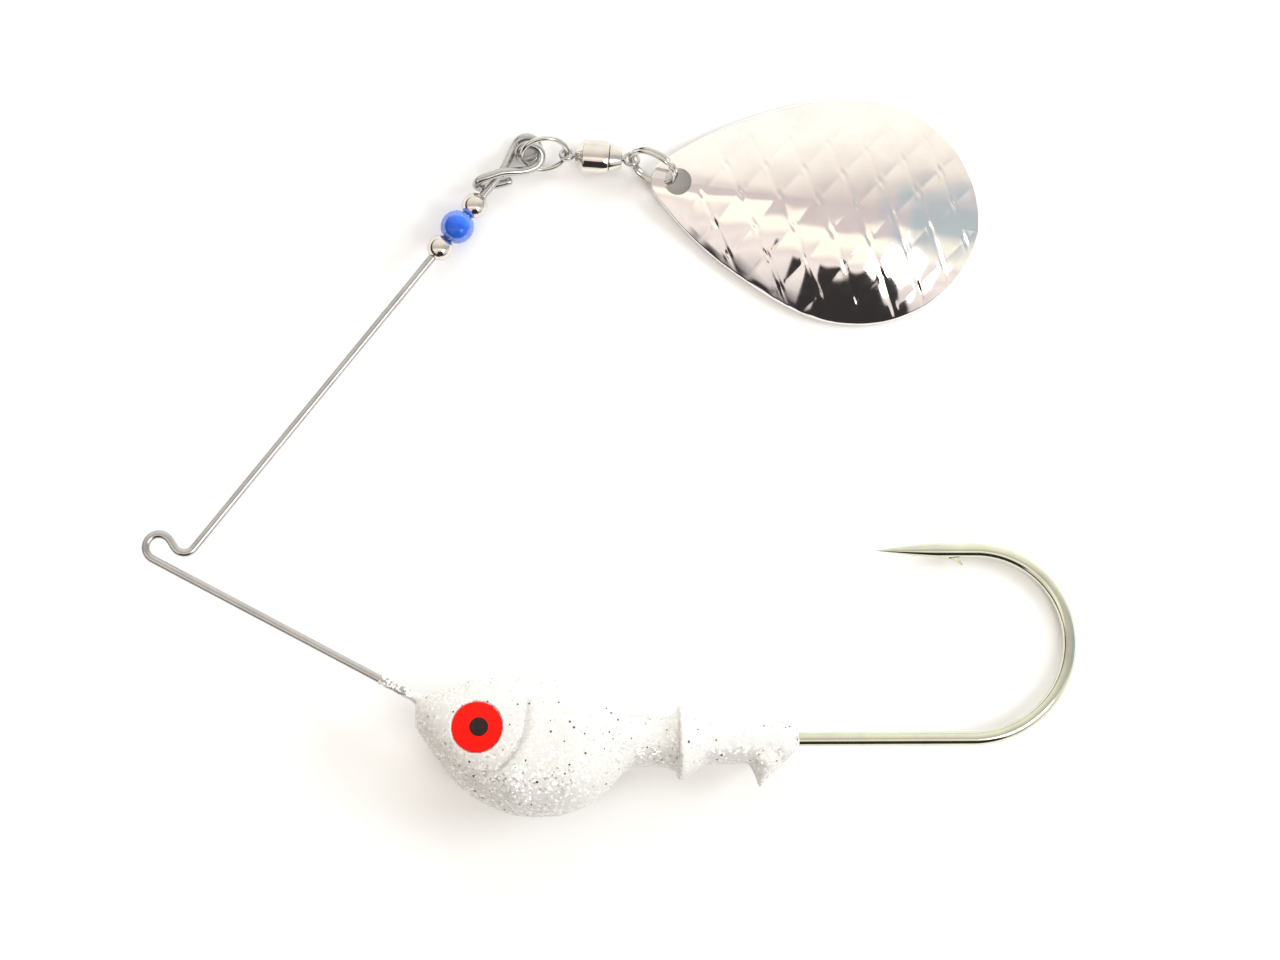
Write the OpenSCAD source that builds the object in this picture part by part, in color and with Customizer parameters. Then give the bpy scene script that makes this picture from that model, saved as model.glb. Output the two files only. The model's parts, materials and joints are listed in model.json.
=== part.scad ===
// Safety-pin spinnerbait: a painted fish-head jig on a bent wire arm, with beads, swivel and blade.
// Millimetres. The lure lies on its side on a table: +X runs towards the hook bend and the blade tip,
// +Y from the hook shank to the blade, +Z up from the table. The origin is the middle of its footprint.

/* [Wire arm] */
// Diameter of the stainless wire
wire_d = 1.0; // [0.9:0.05:1.1]
// Angle of the lower arm below the X axis
lower_arm_angle = 28; // [27:0.5:29]
// Angle of the upper arm above the X axis
upper_arm_angle = 50.9; // [50.4:0.1:51.4]
// Bend radius of the line-tie loop, at the middle of the wire
loop_r = 1.55; // [1.45:0.05:1.6]
// Bend radius of the valley beside the loop
valley_r = 1.4; // [1.3:0.05:1.45]
// Radius of the coil eye's turns, at the middle of the wire
coil_r = 1.3; // [1.25:0.05:1.35]

/* [Head] */
// Half of the head's greatest thickness
head_half_t = 5.6; // [5.4:0.05:5.8]
// Radius of the neck that carries the skirt
neck_r = 3.0; // [2.8:0.1:3.1]
// Radius of the collar flange that stops the skirt
flange_r = 4.6; // [4:0.1:5]
// Radius of the bait keeper
keeper_r = 2.65; // [2.4:0.05:2.7]
// Diameter of each stick-on eye
eye_d = 6.0; // [5:0.1:6.2]
// Diameter of the pupil printed on the eye
pupil_d = 2.25; // [2:0.05:3]

/* [Hook] */
// Diameter of the hook's round wire
hook_d = 1.7; // [1.5:0.05:1.8]

/* [Beads] */
// Diameter of the two metal beads
metal_bead_d = 3.1; // [3:0.05:3.2]
// Diameter of the blue bead between them
blue_bead_d = 4.0; // [3.8:0.05:4.1]
// Play between a bead's bore and the wire, on the radius
bead_play = 0.06; // [0.04:0.01:0.1]

/* [Swivel and rings] */
// Wire diameter of the front ring
front_ring_d = 0.6; // [0.5:0.05:0.6]
// Greatest radius of the swivel barrel
barrel_r = 2.05; // [2:0.05:2.15]
// Radius of the swivel's pins
pin_r = 0.42; // [0.38:0.01:0.44]
// Wire diameter of the split ring
split_ring_d = 0.55; // [0.5:0.05:0.55]

/* [Blade] */
// Length of the blade
blade_l = 39.9; // [39:0.1:40.4]
// Greatest half width of the blade
blade_half_w = 13.6; // [13:0.1:14]
// Height of the blade's dome
blade_dome = 4.4; // [3.8:0.1:4.8]
// Thickness of the blade's sheet
blade_t = 0.55; // [0.5:0.05:0.6]
// Diameter of the hole at the blade's nose
blade_hole_d = 3.1; // [3:0.05:3.2]

/* [Hidden] */
$fn = 64;
wire_r = wire_d / 2;
hook_r = hook_d / 2;
// The lure's own plane leans on the table: tilts about X and Y, and the lift of its origin
lie_x = -3.34;
lie_y = 3.476;
lie_lift = 3.122;
// Middle of the footprint, which the origin is moved to
middle = [0.08, 0.02];

// Places in the lure's own plane
nose = [-23, -28.9];
upper_arm_point = [-20.4, 24.7];
loop_start = [-54.25, nose[1] + (54.25 + nose[0]) * tan(lower_arm_angle)];
hook_eye = [-16.8, -33.8];
arm_end_bend_r = 0.8;
arm_end_y = -35.6;

// Headings of the two arms, both pointing right
lower_dir = [cos(lower_arm_angle), -sin(lower_arm_angle)];
upper_dir = [cos(upper_arm_angle), sin(upper_arm_angle)];
function upper_point(x) = [x, upper_arm_point[1] + (x - upper_arm_point[0]) * tan(upper_arm_angle)];

// Line tie: a clockwise loop, a short straight and a valley the other way
valley_exit = upper_point(-49.44);
loop_centre = loop_start + loop_r * [-lower_dir[1], lower_dir[0]];
valley_centre = valley_exit + valley_r * [-upper_dir[1], upper_dir[0]];
bend_gap = valley_centre - loop_centre;
bend_heading = atan2(bend_gap[1], bend_gap[0]) - asin((loop_r + valley_r) / norm(bend_gap));
bend_normal = [-sin(bend_heading), cos(bend_heading)];
loop_exit = loop_centre + loop_r * bend_normal;
valley_entry = valley_centre - valley_r * bend_normal;

// The lower arm ends in a downward bend through the hook's eye
arm_bend_start = [hook_eye[0] - arm_end_bend_r * (1 - sin(lower_arm_angle)),
    nose[1] - (hook_eye[0] - arm_end_bend_r * (1 - sin(lower_arm_angle)) - nose[0]) * tan(lower_arm_angle)];
arm_bend_centre = arm_bend_start + arm_end_bend_r * [lower_dir[1], -lower_dir[0]];

// Coil eye: its axis, centre, pitch and the angles at which the wire joins and leaves it
coil_axis = [0.135, -0.58, 0.803];
coil_centre = [-9.75, 36.3, 0];
coil_pitch = 1.97;
coil_from = 150;
coil_to = -425;
coil_steps = 40;
arm_top = upper_point(-13.2);
clip_height = 1.05;
tube_sides = 16;
// The tube's corners stand a little outside the round wire, so that its volume is right
tube_r = wire_r * 1.01;

// Front ring: threaded between the coil's turns
front_ring_r = 2.7;
front_ring_centre = [-7.95, 35.9, 1.243];
front_ring_axis = unit([0.086, -0.824, 0.56]);

// Vector helpers
function unit(v) = v / norm(v);
function flat(p, z = 0) = [p[0], p[1], z];
function bezier(a, b, c, d, t) =
    pow(1 - t, 3) * a + 3 * pow(1 - t, 2) * t * b + 3 * (1 - t) * t * t * c + pow(t, 3) * d;
// Points from p to q that leave along u and arrive along v, without the first one
function blend(p, u, q, v, reach_p, reach_q, steps) =
    [for (i = [1:steps]) bezier(p, p + reach_p * u, q - reach_q * v, q, i / steps)];
// A point of the lure's plane once the lure lies on the table
function lie(p) = let (
    y = p[1] * cos(lie_x) - p[2] * sin(lie_x),
    z = p[1] * sin(lie_x) + p[2] * cos(lie_x))
    [p[0] * cos(lie_y) + z * sin(lie_y), y, z * cos(lie_y) - p[0] * sin(lie_y) + lie_lift];
function lie_dir(v) = lie(v) - lie([0, 0, 0]);

// The lure's own plane, laid on the table
module laid() {
    translate([-middle[0], -middle[1], lie_lift])
        rotate([lie_x, lie_y, 0])
            children();
}

// Anything that already lies on the table
module placed() {
    translate([-middle[0], -middle[1], 0])
        children();
}

// Puts the Z axis along a direction, at a point
module aimed(point, dir) {
    translate(point)
        rotate([0, acos(unit(dir)[2]), atan2(dir[1], dir[0])])
            children();
}

// Frames carried along a list of points without twist, for tubes swept along it
function carried(path) = [
    for (i = 0, n = unit(cross(path[1] - path[0], [0, 0, 1])); i < len(path);
        i = i + 1, n = i < len(path) ? unit(n - (n * tangent(path, i)) * tangent(path, i)) : n) n];
function tangent(path, i) = unit(path[min(i + 1, len(path) - 1)] - path[max(i - 1, 0)]);

// radii holds one radius for each point of the path
module swept(path, radii, sides) {
    normals = carried(path);
    points = [for (i = [0:len(path) - 1]) let (t = tangent(path, i), n = normals[i], b = cross(t, n))
        for (k = [0:sides - 1]) path[i] + radii[i] * (cos(360 * k / sides) * n + sin(360 * k / sides) * b)];
    walls = [for (i = [0:len(path) - 2], k = [0:sides - 1]) let (j = (k + 1) % sides)
        [i * sides + k, (i + 1) * sides + k, (i + 1) * sides + j, i * sides + j]];
    first = [for (k = [0:sides - 1]) k];
    last = [for (k = [sides - 1:-1:0]) (len(path) - 1) * sides + k];
    polyhedron(points = points, faces = concat([first], [last], walls));
}

// Coil eye and clip, from the top of the upper arm round the coil and back to the hook over the arm
coil_e1 = unit(cross([0, 1, 0], unit(coil_axis)));
coil_e2 = cross(unit(coil_axis), coil_e1);
function coil_point(a) = coil_centre + coil_r * (cos(a) * coil_e1 + sin(a) * coil_e2)
    + unit(coil_axis) * coil_pitch * ((coil_from - a) / 360 - (coil_from - coil_to) / 720);
coil_turns = [for (i = [0:coil_steps]) coil_point(coil_from + (coil_to - coil_from) * i / coil_steps)];
coil_in = unit(coil_turns[1] - coil_turns[0]);
coil_out = unit(coil_turns[coil_steps] - coil_turns[coil_steps - 1]);
leg_dir = unit([-0.946, -0.323, 0]);
leg_cross = [-13.4, 33.6, clip_height];
leg_end = [-15.3, 32.95, clip_height];
clip_turn = [-16.0, 32.3, 0];
clip_down = unit([0, -0.15, -1]);
clip_under = [-15.2, 32.1, -clip_height];
clip_dir = unit([3.2, 0.85, 0]);
clip_tail = 3.3;
coil_path = concat(
    [flat(arm_top)],
    blend(flat(arm_top), flat(upper_dir), coil_turns[0], coil_in, 1.2, 0.9, 6),
    [for (i = [1:coil_steps]) coil_turns[i]],
    blend(coil_turns[coil_steps], coil_out, leg_cross, leg_dir, 1.6, 1.2, 6),
    blend(leg_cross, leg_dir, leg_end, leg_dir, 0.5, 0.5, 2),
    blend(leg_end, leg_dir, clip_turn, clip_down, 0.7, 0.55, 4),
    blend(clip_turn, clip_down, clip_under, clip_dir, 0.55, 0.4, 4),
    [clip_under + clip_dir * clip_tail]);

// Points of an arc in the plane, from one angle to another
function arc(centre, radius, from, to, steps) =
    [for (i = [0:steps]) let (a = from + (to - from) * i / steps)
        flat(centre + radius * [cos(a), sin(a)])];

// The whole wire, from its end inside the head to the tail of the clip
wire_path = concat(
    [[hook_eye[0], arm_end_y, 0]],
    arc(arm_bend_centre, arm_end_bend_r, 0, 90 - lower_arm_angle, 7),
    arc(loop_centre, loop_r, 270 - lower_arm_angle, bend_heading + 90, 20),
    arc(valley_centre, valley_r, bend_heading - 90, upper_arm_angle - 90, 12),
    coil_path);

module wire_form() {
    color("silver")
        laid()
            swept(wire_path, [for (p = wire_path) tube_r], tube_sides);
}

// Head: a lofted fish head, then the neck, collar flange and bait keeper turned about one axis.
// Each row is a station: X, top, bottom and half thickness
head_rows = [
    [-23.35, -30.3, -31.6, 0.5],
    [-23.1, -29.2, -32.5, 1.6],
    [-22.0, -28.4, -34.2, 2.7],
    [-20.4, -27.7, -36.5, 3.7],
    [-18.0, -27.0, -39.3, 4.6],
    [-15.4, -26.5, -41.1, 5.2],
    [-12.0, -26.35, -42.55, head_half_t],
    [-8.0, -26.5, -42.9, 5.5],
    [-5.0, -27.0, -42.4, 5.45],
    [-2.5, -27.95, -41.3, 4.9],
    [-0.5, -29.1, -39.7, 4.2],
    [1.1, -30.4, -38.0, 3.4],
    [2.6, -31.4, -36.9, 2.75]];
head_substeps = 3;
head_sides = 32;
// Below 1 the cross-sections are a little fuller than an ellipse
head_fullness = 0.92;
turned_y = -34.1;

// Smooth curve through rows of numbers, at a real-valued row position
function row_at(rows, t) = let (
    last = len(rows) - 1,
    i = min(floor(t), last - 1),
    f = t - i,
    p0 = rows[max(i - 1, 0)],
    p1 = rows[i],
    p2 = rows[i + 1],
    p3 = rows[min(i + 2, last)])
    0.5 * (2 * p1 + (p2 - p0) * f + (2 * p0 - 5 * p1 + 4 * p2 - p3) * f * f
        + (3 * p1 - p0 - 3 * p2 + p3) * f * f * f);
function eased(c) = sign(c) * pow(abs(c), head_fullness);
function head_section(row) = [for (k = [0:head_sides - 1]) let (a = 360 * k / head_sides)
    [row[0], (row[1] + row[2]) / 2 + (row[1] - row[2]) / 2 * eased(cos(a)), row[3] * eased(sin(a))]];

// A closed solid through a list of equal rings of points
module lofted(rings) {
    sides = len(rings[0]);
    points = [for (ring = rings, p = ring) p];
    walls = [for (i = [0:len(rings) - 2], k = [0:sides - 1]) let (j = (k + 1) % sides)
        [i * sides + k, (i + 1) * sides + k, (i + 1) * sides + j, i * sides + j]];
    first = [for (k = [0:sides - 1]) k];
    last = [for (k = [sides - 1:-1:0]) (len(rings) - 1) * sides + k];
    polyhedron(points = points, faces = concat([first], [last], walls));
}

module fish_head() {
    steps = (len(head_rows) - 1) * head_substeps;
    lofted([for (i = [0:steps]) head_section(row_at(head_rows, i / head_substeps))]);
}

// Neck, collar flange and keeper as radius and distance along X
module turned_tail() {
    translate([0, turned_y, 0])
        rotate([0, 90, 0])
            rotate_extrude()
                polygon([[0, 0.4], [neck_r - 0.4, 0.4], [neck_r, 2.6], [neck_r, 6.2], [neck_r + 0.35, 7.3],
                    [flange_r - 0.1, 7.8], [flange_r, 8.15], [flange_r - 0.25, 8.6], [neck_r + 0.65, 9.7],
                    [keeper_r, 10.9], [keeper_r, 20.7], [keeper_r - 0.5, 21.6], [keeper_r - 1.5, 22.2],
                    [0, 22.4]]);
}

// The keeper's barb: a thin tooth that leans back
module keeper_barb() {
    linear_extrude(height = 2.2, center = true)
        polygon([[16.2, -35.6], [16.3, -36.7], [17.2, -39.45], [17.7, -39.1], [21.0, -36.2], [21.0, -35.6]]);
}

module head_casting() {
    color("white")
        laid()
            difference() {
                union() {
                    fish_head();
                    turned_tail();
                    keeper_barb();
                }
                cast_hook_room();
                cast_wire_room();
                eye_seat_cut(0);
                eye_seat_cut(1);
            }
}

// A straight round rod in the plane
module rod(from, to, r) {
    way = flat(to - from);
    translate(flat(from))
        rotate([0, 90, atan2(way[1], way[0])])
            cylinder(h = norm(way), r = r);
}

// The room that the hook's shank and eye take up inside the casting
module cast_hook_room() {
    rod([hook_eye[0] + hook_eye_r, hook_eye[1]], [hook_room_end, hook_eye[1]], hook_r + cast_gap);
    translate(flat(hook_eye))
        rotate([90, 0, 0])
            rotate_extrude()
                translate([hook_eye_r, 0])
                    circle(r = hook_eye_wire_r + cast_gap);
}

// The room that the wire's end takes up inside the casting: along the arm, then down through the hook's eye
module cast_wire_room() {
    corner = [hook_eye[0], nose[1] - (hook_eye[0] - nose[0]) * tan(lower_arm_angle)];
    rod(nose - 2 * lower_dir, corner, tube_r + cast_gap);
    rod(corner + [0, cast_gap], [hook_eye[0], arm_end_y], tube_r + 3 * cast_gap);
}

// Hook: eye, shank, a bend of three tangent arcs and a tapered point
shank_end_x = 42.96;
bend_radii = [12.1, 10.9, 11.5];
bend_turns = [50, 83.4, 46.6];
point_start_x = 39.1;
point_tip_x = 31.7;
point_tip_r = 0.08;
hook_eye_r = 1.5;
hook_eye_wire_r = 0.7;
// Room between the lead and what is cast into it
cast_gap = 0.02;
hook_room_end = 23;
bend_centre_1 = [shank_end_x, hook_eye[1] + bend_radii[0]];
turn_1 = bend_turns[0] - 90;
bend_centre_2 = bend_centre_1 + (bend_radii[0] - bend_radii[1]) * [cos(turn_1), sin(turn_1)];
turn_2 = turn_1 + bend_turns[1];
bend_centre_3 = bend_centre_2 + (bend_radii[1] - bend_radii[2]) * [cos(turn_2), sin(turn_2)];
point_y = bend_centre_3[1] + bend_radii[2];

hook_path = concat(
    [for (a = [75:15:330]) flat(hook_eye) + hook_eye_r * [cos(a), 0, -sin(a)]],
    [[hook_eye[0] + 2.1, hook_eye[1], 0.25], [hook_eye[0] + 3, hook_eye[1], 0]],
    arc(bend_centre_1, bend_radii[0], -90, turn_1, 8),
    arc(bend_centre_2, bend_radii[1], turn_1, turn_2, 14),
    arc(bend_centre_3, bend_radii[2], turn_2, 90, 8),
    [[point_start_x, point_y, 0], [point_tip_x, point_y, 0]]);
hook_eye_points = 18;
hook_radii = [for (i = [0:len(hook_path) - 1])
    i < hook_eye_points ? hook_eye_wire_r : i < len(hook_path) - 1 ? hook_r : point_tip_r];

module hook() {
    color("gainsboro")
        laid()
            union() {
                swept(hook_path, hook_radii, 20);
                // The sliced barb: a thin tooth that leans back from the point
                linear_extrude(height = 0.6, center = true)
                    polygon([[38.2, point_y - 0.3], [42.0, point_y - 1.8], [41.3, point_y - 0.6]]);
            }
}

// Stick-on eyes: a thin round film with a printed pupil, in a flat seat cast into each cheek.
// Side 0 is the cheek that faces up and side 1 the one that the lure lies on. slide moves things along
// the seat towards the tail
eye_seat = [-16.1, -32.2, 4.4];
eye_normal = [-0.2, 0.17, 1];
pupil_shift = 0.27;
film_t = 0.3;
pupil_t = 0.06;
seat_play = 0.05;

module on_cheek(side, slide = 0) {
    mirror([0, 0, side])
        translate(eye_seat + slide * [1, 0, -eye_normal[0]])
            rotate([0, acos(unit(eye_normal)[2]), atan2(eye_normal[1], eye_normal[0])])
                children();
}

module eye_seat_cut(side) {
    on_cheek(side)
        cylinder(h = 3, r = eye_d / 2 + seat_play);
}

module eye_film(side) {
    color("red")
        laid()
            on_cheek(side)
                cylinder(h = film_t, r = eye_d / 2);
}

module eye_pupil(side) {
    color("black")
        laid()
            on_cheek(side, pupil_shift)
                translate([0, 0, film_t])
                    cylinder(h = pupil_t, r = pupil_d / 2);
}

module left_eye_film() {
    eye_film(0);
}

module left_eye_pupil() {
    eye_pupil(0);
}

module right_eye_film() {
    eye_film(1);
}

module right_eye_pupil() {
    eye_pupil(1);
}

// Beads: round, with flats at the two ends of the bore. step is the distance between neighbours
upper_bead_x = -16.25;
metal_half_l = 1.43;
blue_half_l = 1.8;
bead_gap = 0.04;
bead_step = metal_half_l + blue_half_l + bead_gap;

module bead(d, half_l, place) {
    translate(flat(upper_point(upper_bead_x) - place * upper_dir))
        rotate([0, 90, upper_arm_angle])
            difference() {
                intersection() {
                    sphere(r = d / 2);
                    cylinder(h = 2 * half_l, r = d, center = true);
                }
                cylinder(h = 3 * d, r = tube_r + bead_play, center = true);
            }
}

module upper_metal_bead() {
    color("lightgray")
        laid()
            bead(metal_bead_d, metal_half_l, 0);
}

module blue_bead() {
    color("royalblue")
        laid()
            bead(blue_bead_d, blue_half_l, bead_step);
}

module lower_metal_bead() {
    color("lightgray")
        laid()
            bead(metal_bead_d, metal_half_l, 2 * bead_step);
}

// Front ring, threaded between the coil's turns
ring_e1 = unit(cross(front_ring_axis, cross([1, 0, 0], front_ring_axis)));
ring_e2 = cross(front_ring_axis, ring_e1);
swivel_ring_angle = -8;
function front_ring_point(a) = front_ring_centre + front_ring_r * (cos(a) * ring_e1 + sin(a) * ring_e2);

module front_ring() {
    color("silver")
        laid()
            aimed(front_ring_centre, front_ring_axis)
                rotate_extrude()
                    translate([front_ring_r, 0])
                        circle(r = front_ring_d / 2);
}

// Swivel: it lies level, its axis starts at the front eye's hole and runs to the rear eye's hole
front_hole = lie(front_ring_point(swivel_ring_angle));
front_hole_axis = lie_dir(-sin(swivel_ring_angle) * ring_e1 + cos(swivel_ring_angle) * ring_e2);
swivel_heading = -4.2;
swivel_dir = [cos(swivel_heading), sin(swivel_heading), 0];
eye_plate_t = 0.6;
front_eye_r = 0.95;
front_eye_hole_r = 0.56;
rear_eye_r = 1.05;
rear_eye_hole_r = 0.68;
eye_gap = 0.08;
barrel_start = front_eye_r + eye_gap;
shoulder = barrel_start + 0.95;
seam = barrel_start + 4.1;
cap_end = barrel_start + 5.6;
rear_hole_s = cap_end + rear_eye_r + eye_gap;
rear_hole = front_hole + rear_hole_s * swivel_dir;
barrel_nose_r = 0.85;
cavity_r = 1.45;
seam_r = 1.85;
cap_r = 1.8;
cap_end_r = 1.2;
spigot_l = 0.55;
race_t = 0.35;
ball_r = 0.28;
ball_count = 8;
ball_circle_r = 0.85;
ball_play = 0.02;
race_start = seam - spigot_l - race_t;
flange_end = race_start - 2 * (ball_r + ball_play);
flange_t = 0.5;
pin_head_t = 0.4;
spin_play = 0.05;

// Places children with +X along the swivel's axis, measured from the front hole
module on_swivel() {
    placed()
        translate(front_hole)
            rotate([0, 0, swivel_heading])
                children();
}

module on_swivel_axis(s) {
    on_swivel()
        translate([s, 0, 0])
            rotate([0, 90, 0])
                children();
}

// A level pin with a flat eye: the plate's hole turns with roll about the pin's own axis
module eye_plate(s, roll, r, hole_r) {
    on_swivel()
        translate([s, 0, 0])
            rotate([roll, 0, 0])
                difference() {
                    cylinder(h = eye_plate_t, r = r, center = true);
                    cylinder(h = 2 * eye_plate_t, r = hole_r, center = true);
                }
}
function roll_of(axis) = let (v = [axis[0] * swivel_dir[1] - axis[1] * swivel_dir[0], axis[2]])
    atan2(v[0], v[1]);

module pin_stem(from, to, r) {
    on_swivel_axis(from)
        cylinder(h = to - from, r = r);
}

module front_eye_pin() {
    color("darkgray") {
        eye_plate(0, roll_of(front_hole_axis), front_eye_r, front_eye_hole_r);
        pin_stem((front_eye_r + front_eye_hole_r) / 2, shoulder + pin_head_t / 2, pin_r);
        pin_stem(shoulder, shoulder + pin_head_t, 2 * pin_r);
    }
}

module swivel_barrel() {
    color("silver")
        on_swivel_axis(0)
            rotate_extrude()
                polygon([[pin_r, barrel_start], [barrel_nose_r, barrel_start], [barrel_r, shoulder],
                    [barrel_r, seam - 0.8], [seam_r, seam], [cavity_r, seam], [cavity_r, shoulder],
                    [pin_r, shoulder]]);
}

module swivel_cap() {
    color("silver")
        on_swivel_axis(0)
            rotate_extrude()
                polygon([[pin_r + spin_play, seam - spigot_l], [cavity_r, seam - spigot_l], [cavity_r, seam],
                    [cap_r, seam], [cap_end_r, cap_end], [pin_r + spin_play, cap_end]]);
}

module bearing_race() {
    color("gray")
        on_swivel_axis(race_start)
            difference() {
                cylinder(h = race_t, r = cavity_r - spin_play);
                translate([0, 0, -race_t])
                    cylinder(h = 3 * race_t, r = pin_r + 2 * spin_play);
            }
}

module bearing_balls() {
    color("gray")
        on_swivel_axis(flange_end + ball_r + ball_play)
            for (i = [0:ball_count - 1])
                rotate([0, 0, 360 * i / ball_count])
                    translate([ball_circle_r, 0, 0])
                        sphere(r = ball_r);
}

module rear_eye_pin() {
    color("darkgray") {
        pin_stem(flange_end - flange_t, flange_end, cavity_r - 5 * spin_play);
        pin_stem(flange_end - flange_t / 2, rear_hole_s - (rear_eye_r + rear_eye_hole_r) / 2, pin_r);
        eye_plate(rear_hole_s, roll_of(split_tangent(rear_ring_angle)), rear_eye_r, rear_eye_hole_r);
    }
}

// Split ring: two turns of wire side by side, leaning as it passes through the rear eye and the blade
split_ring_r = 2.87;
split_turn_gap = 0.48;
split_heading = -29;
split_lean = 27;
rear_ring_angle = 200;
blade_ring_angle = -15;
split_e1 = [cos(split_heading), sin(split_heading), 0];
split_e2 = [-sin(split_heading) * sin(split_lean), cos(split_heading) * sin(split_lean), cos(split_lean)];
function split_radial(a) = cos(a) * split_e1 + sin(a) * split_e2;
function split_tangent(a) = cos(a) * split_e2 - sin(a) * split_e1;
split_centre = rear_hole - split_ring_r * split_radial(rear_ring_angle);
blade_contact = split_centre + split_ring_r * split_radial(blade_ring_angle);

module split_ring() {
    color("silver")
        placed()
            aimed(split_centre, cross(split_e1, split_e2))
                rotate_extrude()
                    for (side = [-1, 1])
                        translate([split_ring_r, side * split_turn_gap / 2])
                            circle(r = split_ring_d / 2);
}

// Blade: a domed teardrop sheet, lying dome up on its tip with its nose lifted by the split ring.
// Each row is the distance from the nose and the half width, as parts of their greatest values
blade_rows = [[0, 0], [0.012, 0.11], [0.05, 0.225], [0.147, 0.455], [0.27, 0.675], [0.45, 0.91],
    [0.6, 1], [0.75, 0.935], [0.873, 0.73], [0.95, 0.46], [0.988, 0.2], [1, 0]];
blade_substeps = 3;
blade_mid = 22;
blade_rings = 9;
blade_inner = 0.08;
dome_power = 2.2;
hole_to_nose = 3.3;
nose_lift = 1.2;
nose_flat_l = 8;
hole_offset = [0.7, -0.1, 0.15];
blade_heading = -9.3;
blade_pitch = 0.77;
function blade_edge(t) = let (p = row_at(blade_rows, t)) [p[0] * blade_l, max(p[1], 0) * blade_half_w];
// Height of the sheet at u from the nose, where s runs from the dome's middle to the rim
function sheet_height(u, s) = blade_dome * (1 - pow(s, dome_power))
    + nose_lift * pow(max(0, 1 - u / nose_flat_l), 2);
blade_last = (len(blade_rows) - 1) * blade_substeps;
blade_outline = concat(
    [for (i = [0:blade_last]) blade_edge(i / blade_substeps)],
    [for (i = [blade_last - 1:-1:1]) let (p = blade_edge(i / blade_substeps)) [p[0], -p[1]]]);
function blade_ring(s, lift) =
    [for (p = blade_outline) let (u = blade_mid + s * (p[0] - blade_mid))
        [u, s * p[1], sheet_height(u, s) + lift]];
hole_height = sheet_height(hole_to_nose, (blade_mid - hole_to_nose) / blade_mid);

module blade() {
    scales = [for (i = [0:blade_rings]) blade_inner + (1 - blade_inner) * i / blade_rings];
    color("white")
        placed()
            translate(blade_contact + hole_offset)
                rotate([0, blade_pitch, blade_heading])
                    translate([-hole_to_nose, 0, -hole_height])
                        difference() {
                            lofted(concat(
                                [for (s = scales) blade_ring(s, blade_t / 2)],
                                [for (i = [blade_rings:-1:0]) blade_ring(scales[i], -blade_t / 2)]));
                            translate([hole_to_nose, 0, -blade_dome])
                                cylinder(h = 3 * blade_dome, d = blade_hole_d);
                        }
}

wire_form();
head_casting();
hook();
left_eye_film();
left_eye_pupil();
right_eye_film();
right_eye_pupil();
upper_metal_bead();
blue_bead();
lower_metal_bead();
front_ring();
front_eye_pin();
swivel_barrel();
swivel_cap();
bearing_race();
bearing_balls();
rear_eye_pin();
split_ring();
blade();
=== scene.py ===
import json
import math

import bpy
import numpy as np
from mathutils import Matrix, Vector, noise


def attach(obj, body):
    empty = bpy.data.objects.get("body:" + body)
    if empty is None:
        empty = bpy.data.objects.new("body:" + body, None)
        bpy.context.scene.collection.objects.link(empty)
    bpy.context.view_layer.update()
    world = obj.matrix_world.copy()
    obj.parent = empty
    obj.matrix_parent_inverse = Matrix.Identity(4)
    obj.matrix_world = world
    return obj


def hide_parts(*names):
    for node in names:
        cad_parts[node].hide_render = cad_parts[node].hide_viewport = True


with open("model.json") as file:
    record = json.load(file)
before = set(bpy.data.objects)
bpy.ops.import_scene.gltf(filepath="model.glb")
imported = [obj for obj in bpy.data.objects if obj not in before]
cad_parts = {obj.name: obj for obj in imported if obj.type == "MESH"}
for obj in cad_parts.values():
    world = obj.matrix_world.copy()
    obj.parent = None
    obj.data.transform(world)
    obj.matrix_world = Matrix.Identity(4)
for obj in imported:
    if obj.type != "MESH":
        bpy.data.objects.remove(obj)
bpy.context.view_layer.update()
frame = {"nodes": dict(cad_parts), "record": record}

# The lure lies on its side on a table, seen from straight above. Lengths below are in millimetres in the
# lure's own plane, which leans on the table: X from the line tie to the hook bend, Y up to the blade and
# Z out of the cheek that faces up. The record's two mounts fix that plane.
MM = 0.001
MOUNTS = {m["name"]: m for m in frame["record"]["mounts"]}
JOINTS = {j["name"]: j for j in frame["record"]["behaviour"]["joints"]}
LURE_Z = Vector(MOUNTS["line_tie"]["axis"]).normalized()
LURE_X = Vector(MOUNTS["skirt_collar"]["axis"]).normalized()
LURE_Y = LURE_Z.cross(LURE_X)
COLLAR = (9.0, -34.1, 0.0)

LURE_AXES = np.array([LURE_X, LURE_Y, LURE_Z])
LURE_ORIGIN = np.array(MOUNTS["skirt_collar"]["pos_m"]) - np.array(COLLAR) * MM @ LURE_AXES


def lure(points):
    """World points, in metres, of points in the lure's plane, in millimetres."""
    return LURE_ORIGIN + np.asarray(points, float) * MM @ LURE_AXES


def lure_dir(v):
    return unit(np.asarray(v, float) @ LURE_AXES)


def unit(v):
    v = np.asarray(v, float)
    return v / np.linalg.norm(v)


# ---------------------------------------------------------------- mesh helpers

# How far a tube's rounded end reaches, as a share of its radius
CAP_FLATTEN = 0.6

def piece(name, verts, faces, material, body, replaces=(), sharp=None):
    """A mesh object in world metres that rides on a body and stands for some CAD nodes."""
    mesh = bpy.data.meshes.new(name)
    mesh.from_pydata([tuple(v) for v in verts], [], [tuple(int(i) for i in f) for f in faces])
    mesh.validate()
    obj = bpy.data.objects.new(name, mesh)
    bpy.context.scene.collection.objects.link(obj)
    mesh.materials.append(material)
    mesh.shade_smooth()
    if sharp:
        mesh.set_sharp_from_angle(angle=math.radians(sharp))
    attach(obj, body)
    if replaces:
        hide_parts(*replaces)
    return obj


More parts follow.
